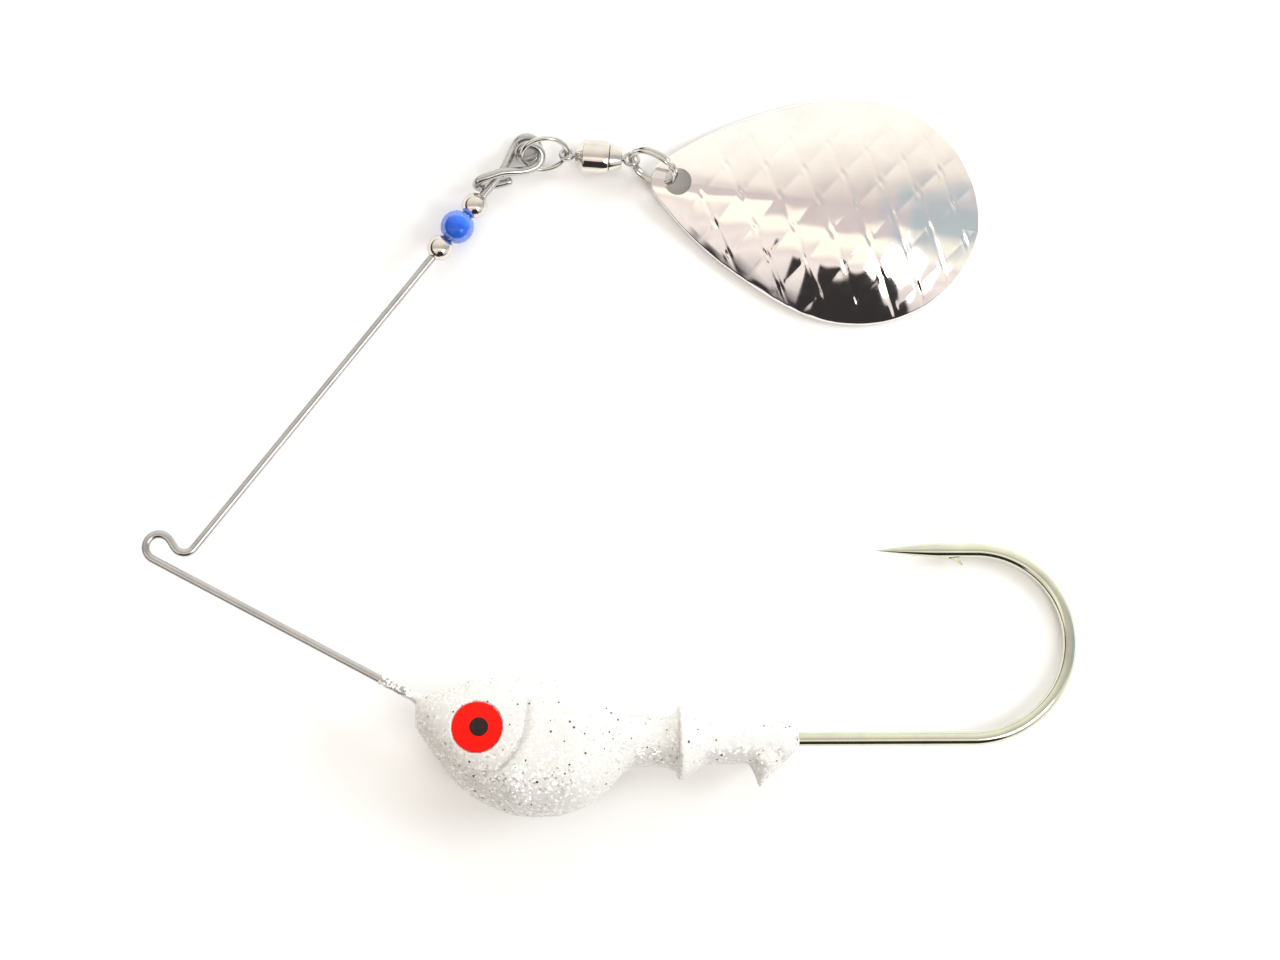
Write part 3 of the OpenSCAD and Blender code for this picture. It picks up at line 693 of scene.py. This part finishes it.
def vertex_normals(verts, faces):
    normals = np.zeros_like(verts)
    quads = np.array([f if len(f) == 4 else (*f, f[-1]) for f in faces])
    n = np.cross(verts[quads[:, 2]] - verts[quads[:, 0]], verts[quads[:, 3]] - verts[quads[:, 1]])
    for k in range(4):
        np.add.at(normals, quads[:, k], n)
    return normals / np.maximum(np.linalg.norm(normals, axis=1), 1e-12)[:, None]


def carve_cheeks(verts, faces):
    """Gill plate edges, eye seats and the powder coat's slight unevenness."""
    normals = vertex_normals(verts, faces)
    edge = smooth_rows(GILL_EDGE, 8)
    dist, side = to_polyline(verts[:, :2], edge)
    cheek = np.clip((np.abs(verts[:, 2]) - 1.2) / 1.5, 0, 1)
    along = np.clip((verts[:, 1] + 38.2) / 1.2, 0, 1) * np.clip((-28.6 - verts[:, 1]) / 0.8, 0, 1)
    plate = np.where(side < 0, GILL_RISE * np.exp(-dist / 2.4), -GILL_GROOVE * np.exp(-(dist / 0.6) ** 2))
    depth = plate * cheek * along
    lump = np.array([
        noise.noise(Vector(p) * 0.9) * 0.020 + noise.noise(Vector(p) * 2.6) * 0.012 for p in verts])
    verts = verts + normals * (depth + lump)[:, None]
    for flip in (1, -1):
        axis, seat = EYE_NORMAL * (1, 1, flip), EYE_SEAT * (1, 1, flip)
        off = verts - seat
        height = off @ axis
        flat_dist = np.linalg.norm(off - height[:, None] * axis, axis=1)
        in_seat = (flat_dist < EYE_R + 0.12) & (height > 0.0)
        verts[in_seat] -= height[in_seat, None] * axis
    return verts


def make_head():
    rows = smooth_rows(HEAD_ROWS, 6)
    fish = lofted([head_section(row) for row in rows])
    verts, faces = remeshed([fish, tail_solid(), barb_solid(), nose_coat()], COAT_VOXEL)
    verts = relaxed(verts, faces, 3)
    behind = verts[:, 0] > KEEPER_END[0]
    back_face = KEEPER_END[1] + KEEPER_END[2] * (verts[:, 0] - KEEPER_END[0])
    verts[:, 1] = np.where(behind, np.maximum(verts[:, 1], back_face), verts[:, 1])
    verts = carve_cheeks(verts, faces)
    head = piece("head_casting_paint", lure(verts), faces, PAINT, "wire_arm", ["head_casting"])
    head.data.materials.append(DUSTED)
    on_wire = np.array([verts[list(p.vertices), 0].mean() < DUST_END_X for p in head.data.polygons])
    head.data.polygons.foreach_set("material_index", on_wire.astype(np.int32))
    return head


def make_eye(side, flip):
    axis, seat = EYE_NORMAL * (1, 1, flip), EYE_SEAT * (1, 1, flip)
    dome = [(FILM_T - 0.10 + 0.16 * (1 - (r / EYE_R) ** 2), r) for r in np.linspace(EYE_R - 0.12, 0.02, 22)]
    profile = [(0.0, 0.02), (0.0, EYE_R - 0.05), (0.06, EYE_R), (FILM_T - 0.16, EYE_R - 0.01)] + dome
    verts, faces = turned(profile, lure(seat), lure_dir(axis), 96)
    piece(f"{side}_eye_dome", verts, faces, EYE_RED, "wire_arm", [f"{side}_eye_film"], sharp=60)
    along_cheek = unit(np.array([1.0, 0, 0]) - axis[0] * axis)
    centre = seat + along_cheek * PUPIL_SHIFT
    top = FILM_T + 0.075
    profile = [(top - 0.10, 0.02), (top - 0.10, PUPIL_R), (top - 0.015, PUPIL_R), (top, PUPIL_R - 0.05),
               (top + 0.008, PUPIL_R * 0.5), (top + 0.01, 0.02)]
    verts, faces = turned(profile, lure(centre), lure_dir(axis), 72)
    piece(f"{side}_eye_print", verts, faces, PUPIL, "wire_arm", [f"{side}_eye_pupil"], sharp=60)


# ---------------------------------------------------------------- hook

HOOK_R, HOOK_EYE_R, HOOK_EYE_WIRE_R = 0.85, 1.5, 0.7
BEND_RADII, BEND_TURNS = (12.1, 10.9, 11.5), (50.0, 83.4, 46.6)
SHANK_END_X, POINT_START_X, POINT_TIP_X, POINT_TIP_R = 42.96, 39.1, 31.7, 0.06


def heading_to(degrees):
    return np.array([math.cos(math.radians(degrees)), math.sin(math.radians(degrees))])


def hook_bend():
    """The three tangent arcs of the bend and the centre of the last one."""
    turn_1 = BEND_TURNS[0] - 90
    turn_2 = turn_1 + BEND_TURNS[1]
    c1 = np.array([SHANK_END_X, HOOK_EYE[1] + BEND_RADII[0]])
    c2 = c1 + (BEND_RADII[0] - BEND_RADII[1]) * heading_to(turn_1)
    c3 = c2 + (BEND_RADII[1] - BEND_RADII[2]) * heading_to(turn_2)
    arcs = [arc(c1, BEND_RADII[0], -90, turn_1, 24)[:-1], arc(c2, BEND_RADII[1], turn_1, turn_2, 44)[:-1],
            arc(c3, BEND_RADII[2], turn_2, 90, 24)]
    return np.vstack(arcs), c3[1] + BEND_RADII[2]


def make_hook():
    bend, point_y = hook_bend()
    a = np.radians(np.arange(75, 331, 10))
    eye = np.c_[HOOK_EYE[0] + HOOK_EYE_R * np.cos(a), np.full(len(a), HOOK_EYE[1]), -HOOK_EYE_R * np.sin(a)]
    shank_x = np.linspace(HOOK_EYE[0] + 3.0, SHANK_END_X, 60)
    shank = np.c_[shank_x, np.full(60, HOOK_EYE[1]), np.zeros(60)]
    point_x = np.linspace(POINT_START_X, POINT_TIP_X, 40)
    point = np.c_[point_x, np.full(40, point_y), np.zeros(40)]
    path = np.vstack([eye, [[HOOK_EYE[0] + 2.1, HOOK_EYE[1], 0.25]], shank[:-1], bend, point])
    taper = np.linspace(0, 1, 40)
    radii = np.r_[np.full(len(eye) + 1, HOOK_EYE_WIRE_R), np.full(59 + len(bend), HOOK_R),
                  HOOK_R + (POINT_TIP_R - HOOK_R) * taper ** 1.25]
    v1, f1 = swept(path, radii, 32)
    # The sliced barb: a sliver that leans back from the point, thickest along its inner edge
    root = np.array([38.9, point_y - 0.1, 0.0])
    tip = np.array([42.0, point_y - 1.8, 0.0])
    heel = np.array([41.2, point_y - 0.4, 0.0])
    rings = []
    for t in np.linspace(0, 1, 12):
        low = root + (tip - root) * t
        high = root + (heel - root) * min(t * 1.5, 1) + (tip - heel) * max(0, (t - 0.67) / 0.36)
        half = 0.38 * (1 - t) ** 0.6 + 0.03
        rings.append(np.array([low, high + [0, 0, half], high + [0, 0.12, 0], high - [0, 0, half]]))
    v2, f2 = lofted(rings)
    faces = list(f1) + [tuple(i + len(v1) for i in f) for f in f2]
    verts = lure(np.vstack([v1, v2]))
    return piece("hook_wire", verts, faces, HOOK, "wire_arm", ["hook"], sharp=50)


# ---------------------------------------------------------------- blade

BLADE_L, BLADE_HALF_W, BLADE_DOME, BLADE_T, BLADE_HOLE_R = 39.9, 13.6, 4.4, 0.55, 1.61
BLADE_ROWS = [
    [0, 0], [0.012, 0.11], [0.05, 0.225], [0.147, 0.455], [0.27, 0.675], [0.45, 0.91],
    [0.6, 1], [0.75, 0.935], [0.873, 0.73], [0.95, 0.46], [0.988, 0.2], [1, 0]]
BLADE_MID, DOME_POWER, HOLE_TO_NOSE, NOSE_LIFT, NOSE_FLAT_L = 22.0, 2.2, 3.3, 1.2, 8.0
HOLE_OFFSET = np.array([0.7, -0.1, 0.15])
BLADE_HEADING, BLADE_PITCH = -9.3, 0.77
# The stamped scales: a lattice of rhombi, as its step along the blade, its step across and one corner
SCALE_ALONG = np.array([4.58, 0.0])
SCALE_DOWN = np.array([2.2, -3.58])
SCALE_ORIGIN = np.array([22.4, 4.0])
SCALE_PILLOW = 0.085
EDGE_ROUND = 0.22


def blade_half_width(u):
    rows = smooth_rows(BLADE_ROWS, 24)
    return np.interp(u, rows[:, 0] * BLADE_L, np.maximum(rows[:, 1], 0) * BLADE_HALF_W)


def dome_place(u, v):
    """How far out a point is, from 0 at the dome's middle to 1 at the rim."""
    low, high = np.zeros_like(u), np.ones_like(u) * 1.02
    for _ in range(26):
        mid = (low + high) / 2
        inside = mid * blade_half_width(BLADE_MID + (u - BLADE_MID) / np.maximum(mid, 1e-6)) < np.abs(v)
        beyond = np.abs(u - BLADE_MID) > mid * np.where(u < BLADE_MID, BLADE_MID, BLADE_L - BLADE_MID)
        low = np.where(inside | beyond, mid, low)
        high = np.where(inside | beyond, high, mid)
    return np.clip(high, 0, 1)


def sheet_height(u, s):
    return BLADE_DOME * (1 - s ** DOME_POWER) + NOSE_LIFT * np.maximum(0, 1 - u / NOSE_FLAT_L) ** 2


def scale_relief(u, v, s):
    """Stamped pattern: pillowed rhombi, a crisp line down one side and short slits at the corners.
    The rows bow and crowd towards one rim, because the sheet was domed after it was stamped."""
    across = v + 0.00625 * (u - 21.6) ** 2 + 0.01 * np.maximum(0, v - 1) ** 2
    lattice = np.linalg.inv(np.array([SCALE_DOWN, SCALE_DOWN - SCALE_ALONG]).T)
    p = lattice[0, 0] * (u - SCALE_ORIGIN[0]) + lattice[0, 1] * (across - SCALE_ORIGIN[1])
    q = lattice[1, 0] * (u - SCALE_ORIGIN[0]) + lattice[1, 1] * (across - SCALE_ORIGIN[1])
    fp, fq = p - np.round(p), q - np.round(q)
    width = SCALE_ALONG[0] * abs(SCALE_DOWN[1]) / np.linalg.norm(SCALE_DOWN)
    off_line, off_cross = np.abs(fq) * width, np.abs(fp) * width
    pillow = 1 - (2 * np.abs(p - np.floor(p) - 0.5)) ** 2
    pillow *= 1 - (2 * np.abs(q - np.floor(q) - 0.5)) ** 2
    low_side = np.clip((3.0 - v) / 8.0, 0, 1)
    relief = SCALE_PILLOW * (1.05 + 0.15 * low_side) * pillow
    relief -= (0.008 + 0.008 * low_side) * np.exp(-(off_line / 0.14) ** 2)
    relief -= 0.004 * np.exp(-(off_cross / 0.2) ** 2)
    corner = np.exp(-(off_cross / 0.55) ** 2)
    relief -= 0.10 * corner * np.exp(-(off_line / 0.17) ** 2)
    relief += 0.055 * corner * np.exp(-((off_line - 0.38) / 0.16) ** 2)
    fade = np.clip((u - 4.9) / 1.8, 0, 1) * np.clip((1 - s) * 16, 0, 1)
    return relief * fade


def blade_world(points):
    """World metres of points in the blade's frame: distance from the nose, across and up, in millimetres."""
    heading, pitch = math.radians(BLADE_HEADING), math.radians(BLADE_PITCH)
    turn = np.array(Matrix.Rotation(heading, 3, "Z") @ Matrix.Rotation(pitch, 3, "Y"))
    hole_height = float(sheet_height(HOLE_TO_NOSE, (BLADE_MID - HOLE_TO_NOSE) / BLADE_MID))
    local = np.asarray(points) - np.array([HOLE_TO_NOSE, 0.0, hole_height])
    return joint_pos("blade_flap") + MM * (HOLE_OFFSET + local @ turn.T)


def make_blade():
    """Each row across the blade is a closed loop: over the top from rim to rim, then back underneath."""
    rim = np.array([0.0, 0.02, 0.06, 0.12, 0.2])
    ends = np.array([0.004, 0.03, 0.08, 0.14, 0.22])
    t = np.linspace(0, 1, 250)
    inner_u = BLADE_L * (0.6 * t + 0.4 * (0.5 - 0.5 * np.cos(math.pi * t)))
    us = np.r_[ends, inner_u[(inner_u > 0.3) & (inner_u < BLADE_L - 0.3)], BLADE_L - ends[::-1]]
    columns = 124
    top = []
    for u in us:
        w = float(blade_half_width(np.array([u]))[0])
        cut = np.minimum(rim, w * np.linspace(0, 0.12, len(rim)))
        inner = np.linspace(-w + cut[-1], w - cut[-1], columns)[1:-1]
        top.append(np.r_[-w + cut, inner, (w - cut)[::-1]])
    v = np.array(top)
    u = np.repeat(us[:, None], v.shape[1], axis=1)
    s = dome_place(u, v)
    height = sheet_height(u, s) + scale_relief(u, v, s)
    reach = np.hypot(u - BLADE_MID, v)
    from_rim = (1 - s) / np.maximum(s, 0.05) * reach
    half_t = BLADE_T / 2 * np.sqrt(1 - (1 - np.clip(from_rim / EDGE_ROUND, 0, 1)) ** 2)
    # The sheet thins a little round the hole, which keeps it clear of the ring
    half_t = half_t * (1 - 0.18 * np.exp(-(np.hypot(u - HOLE_TO_NOSE, v) / 2.8) ** 4))
    over = np.stack([u, v, height + half_t], axis=-1)
    under = np.stack([u, v, height - half_t], axis=-1)[:, -2:0:-1]
    rings = [blade_world(np.vstack([a, b])) for a, b in zip(over, under)]
    verts, faces = lofted(rings)
    obj = piece("blade_sheet", verts, faces, BLADE, "blade", ["blade"], sharp=65)
    cut_hole(obj)
    return obj


def cut_hole(obj):
    """Punches the nose hole through the sheet."""
    axis = blade_world([[HOLE_TO_NOSE, 0, 4]]) - blade_world([[HOLE_TO_NOSE, 0, -4]])
    middle = blade_world([[HOLE_TO_NOSE, 0, 0]])[0]
    profile = [(-6, 0.01), (-6, BLADE_HOLE_R), (6, BLADE_HOLE_R), (6, 0.01)]
    verts, faces = turned(profile, middle, axis[0], 72)
    mesh = bpy.data.meshes.new("punch")
    mesh.from_pydata([tuple(p) for p in verts], [], [tuple(int(i) for i in f) for f in faces])
    punch = bpy.data.objects.new("punch", mesh)
    bpy.context.scene.collection.objects.link(punch)
    cut = obj.modifiers.new("hole", "BOOLEAN")
    cut.operation = "DIFFERENCE"
    cut.object = punch
    cut.solver = "MANIFOLD"
    result = obj.evaluated_get(bpy.context.evaluated_depsgraph_get())
    cut_mesh = bpy.data.meshes.new_from_object(result)
    obj.modifiers.remove(cut)
    obj.data = cut_mesh
    bpy.data.objects.remove(punch)
    cut_mesh.set_sharp_from_angle(angle=math.radians(55))


# ---------------------------------------------------------------- the object

make_wire()
for name, node, body, d, half_l, material, slot, place in (
        ("upper_bead_metal", "upper_metal_bead", "upper_bead", 3.1, 1.43, NICKEL, "nickel", 0.0),
        ("middle_bead_blue", "blue_bead", "middle_bead", 4.0, 1.80, BLUE, "blue_glass", 3.27),
        ("lower_bead_metal", "lower_metal_bead", "lower_bead", 3.1, 1.43, NICKEL, "nickel", 6.54)):
    make_bead(name, node, body, d, half_l, material, place)
make_front_ring()
make_split_ring()
make_swivel()
make_swivel_pins()
make_head()
make_eye("left", 1)
make_eye("right", -1)
make_hook()
make_blade()
for name in ("bearing_race", "bearing_balls"):
    node = frame["nodes"][name]
    node.data.materials.clear()
    node.data.materials.append(STEEL)


# ---------------------------------------------------------------- floor, light and camera

def make_floor():
    mesh = bpy.data.meshes.new("floor")
    mesh.from_pydata([(-3, -3, 0), (3, -3, 0), (3, 3, 0), (-3, 3, 0)], [], [(0, 1, 2, 3)])
    floor = bpy.data.objects.new("floor", mesh)
    bpy.context.scene.collection.objects.link(floor)
    floor_paint = Nodes("floor_paint", Roughness=0.7, Specular_IOR_Level=0.15)
    floor_paint.set("Base Color", (0.94, 0.94, 0.94, 1))
    mesh.materials.append(floor_paint.mat)


def softbox(name, place, target, size, color, power, mirrored):
    """A rectangular area light that faces a point. Bright metal shows it only when mirrored is set."""
    data = bpy.data.lights.new(name, "AREA")
    data.shape = "RECTANGLE"
    data.size, data.size_y = size
    data.color = color
    data.energy = power
    light = bpy.data.objects.new(name, data)
    light.location = place
    light.visible_glossy = mirrored
    light.rotation_euler = (Vector(target) - Vector(place)).to_track_quat("-Z", "Y").to_euler()
    bpy.context.scene.collection.objects.link(light)
    return light


# The studio's walls and ceiling as seen from the table: how far a direction points to +Y, and its colour
ROOM = [
    (-1.0, (0.46, 0.43, 0.42)), (-0.76, (0.62, 0.57, 0.55)), (-0.58, (0.80, 0.73, 0.68)),
    (-0.47, (0.72, 0.65, 0.61)), (-0.36, (0.99, 0.94, 0.78)), (-0.20, (0.98, 0.92, 0.79)),
    (-0.12, (0.57, 0.505, 0.49)), (0.08, (0.55, 0.485, 0.475)), (0.45, (0.77, 0.72, 0.645)),
    (0.85, (0.93, 0.90, 0.81)), (1.0, (0.88, 0.87, 0.83))]
ROOM_RIGHT = (0.40, 0.455, 0.475, 1)
ROOM_DARK = (0.030, 0.027, 0.027, 1)
# The unlit side where the camera's stand is: its heading in the room
STAND = (0.05, -0.999)


def make_world():
    """A softly lit room: pinkish ceiling, brighter walls, a dim skirting and one dark corner."""
    world = bpy.data.worlds.new("studio")
    world.use_nodes = True
    room = Tree(world.node_tree)
    way = room.add("ShaderNodeTexCoord").outputs["Generated"]
    xyz = room.add("ShaderNodeSeparateXYZ", {"Vector": way}).outputs
    ramp = room.add("ShaderNodeValToRGB", {"Fac": room.remap(xyz["Y"], -1, 1, 0, 1)})
    stops = ramp.color_ramp.elements
    for place, color in ROOM[1:-1]:
        stops.new((place + 1) / 2)
    for stop, (place, color) in zip(stops, ROOM):
        stop.color = (*color, 1)
    right = room.math("MULTIPLY", room.remap(xyz["X"], 0.30, 0.62, 0, 1),
                      room.remap(room.math("ABSOLUTE", xyz["Y"]), 0.12, 0.42, 1, 0))
    color = room.mix(right, ramp.outputs["Color"], ROOM_RIGHT)
    height = room.math("ADD", xyz["Z"], room.math("MULTIPLY", xyz["X"], 0.24))
    height = room.math("ADD", height, room.math("MULTIPLY", xyz["Y"], 0.20))
    color = room.mix(room.remap(height, 0.02, 0.26, 1, 0), color, ROOM_DARK)
    level = room.add("ShaderNodeVectorMath", {0: way, 1: (1, 1, 0)}, operation="MULTIPLY").outputs[0]
    level = room.add("ShaderNodeVectorMath", {0: level}, operation="NORMALIZE").outputs[0]
    stand = room.add("ShaderNodeVectorMath", {0: level, 1: (*STAND, 0)}, operation="DOT_PRODUCT")
    stand = room.math("MULTIPLY", room.remap(stand.outputs["Value"], 0.885, 0.905, 0, 1),
                      room.remap(xyz["Z"], 0.825, 0.79, 0, 1))
    color = room.mix(stand, color, ROOM_DARK)
    back = room.tree.nodes["Background"]
    room.tree.links.new(color, back.inputs["Color"])
    back.inputs["Strength"].default_value = 1.3
    bpy.context.scene.world = world
    bpy.context.scene.view_settings.view_transform = "Standard"


def make_camera():
    data = bpy.data.cameras.new("camera")
    data.lens = 105.6
    data.sensor_width = 36.0
    data.clip_start = 0.01
    camera = bpy.data.objects.new("camera", data)
    camera.location = (0.00332, -0.00296, 0.450)
    bpy.context.scene.collection.objects.link(camera)
    bpy.context.scene.camera = camera


make_world()
make_floor()
middle = (0.0, 0.0, 0.005)
softbox("right", (0.64, 0.12, 0.30), middle, (0.35, 0.30), (0.93, 0.96, 1.0), 3.2, False)
softbox("key", (0.40, -0.34, 0.58), middle, (0.30, 0.30), (1.0, 0.985, 0.95), 1.3, True)
softbox("back", (0.10, 0.62, 0.36), middle, (0.60, 0.24), (0.92, 0.96, 1.0), 2.2, False)
make_camera()
